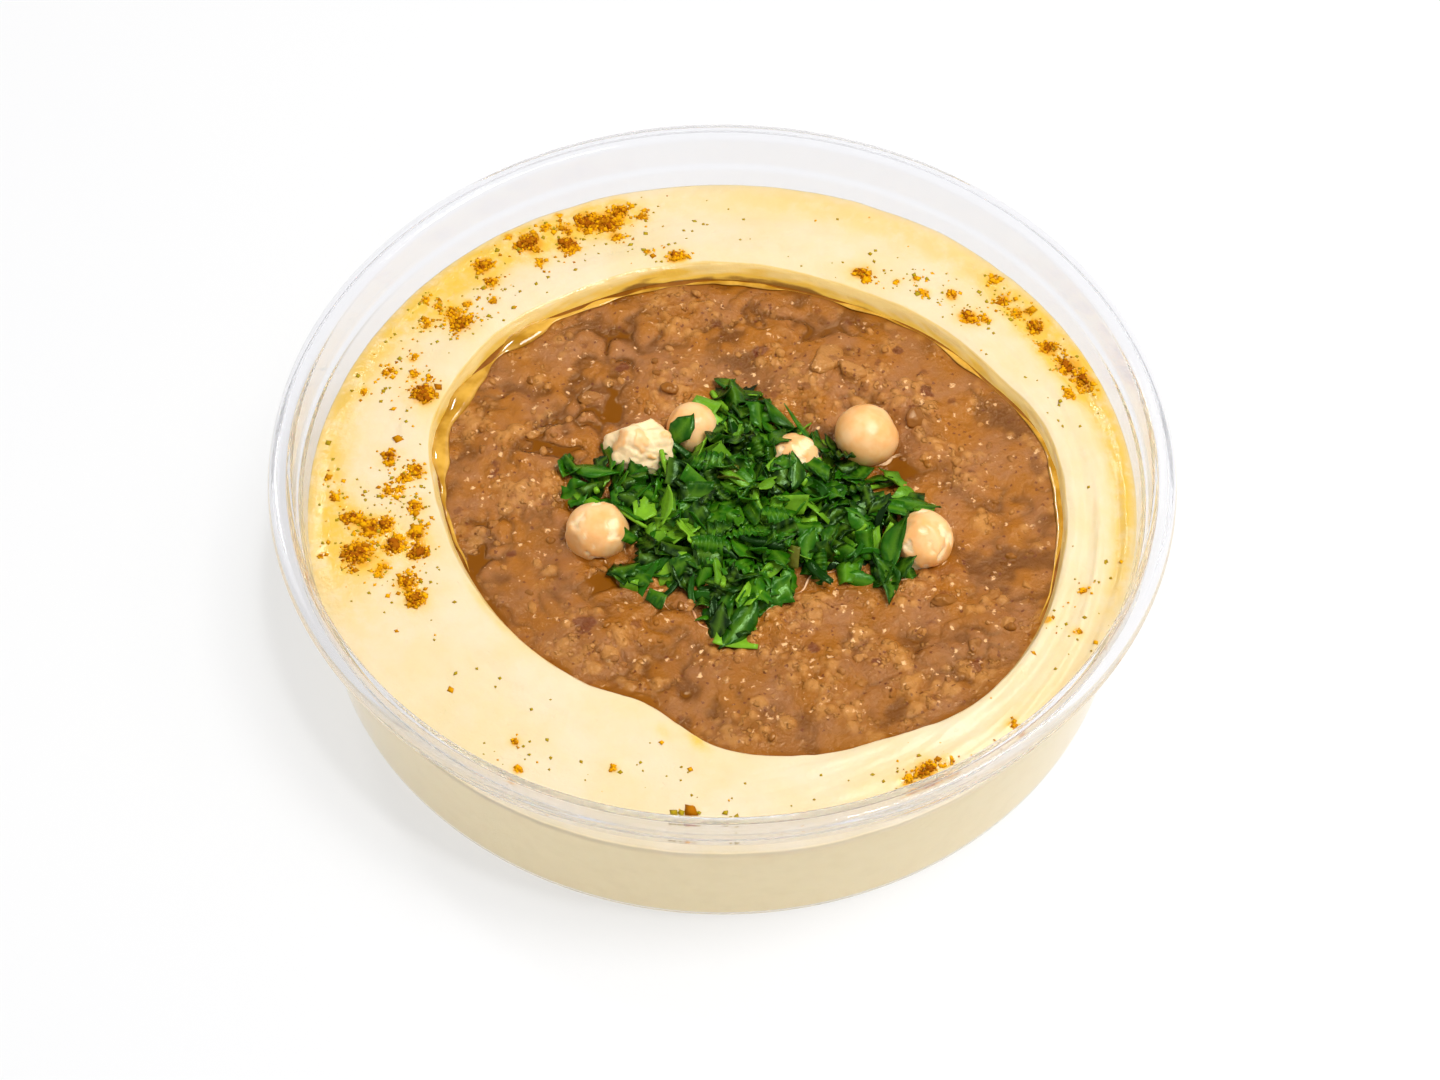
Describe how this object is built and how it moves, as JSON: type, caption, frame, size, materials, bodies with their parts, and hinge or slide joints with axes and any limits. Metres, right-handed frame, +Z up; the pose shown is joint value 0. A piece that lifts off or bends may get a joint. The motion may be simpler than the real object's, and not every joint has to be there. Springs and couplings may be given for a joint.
{
  "type": "bowl of ful medames",
  "caption": "Clear round deli tub of hummus with mashed fava beans in a spooned well, topped with chickpeas, chopped parsley and ground spice.",
  "frame": {"origin": "middle of the tub's flat foot", "axes": "+Z up along the tub's axis, +X to the right and +Y away from the front as the bowl is served"},
  "size_m": [0.142, 0.142, 0.035],
  "materials": {
    "clear_plastic": "clear, smooth, thin moulded plastic",
    "hummus": "smooth pale cream paste with a soft sheen",
    "ful": "lumpy brown mash, wet and glossy with oil",
    "parsley": "fresh chopped leaf, moist",
    "chickpea": "cooked chickpea skin, satin",
    "spice": "dry orange-brown ground spice",
    "oil": "golden olive oil"
  },
  "bodies": {
    "root": {"tub": "clear_plastic", "hummus": "hummus", "ful": "ful", "parsley": "parsley", "chickpea_right": "chickpea", "chickpea_left": "chickpea", "chickpea_upper_left": "chickpea", "chickpea_upper_middle": "chickpea", "chickpea_middle": "chickpea", "chickpea_low_right": "chickpea"}
  },
  "joints": []
}
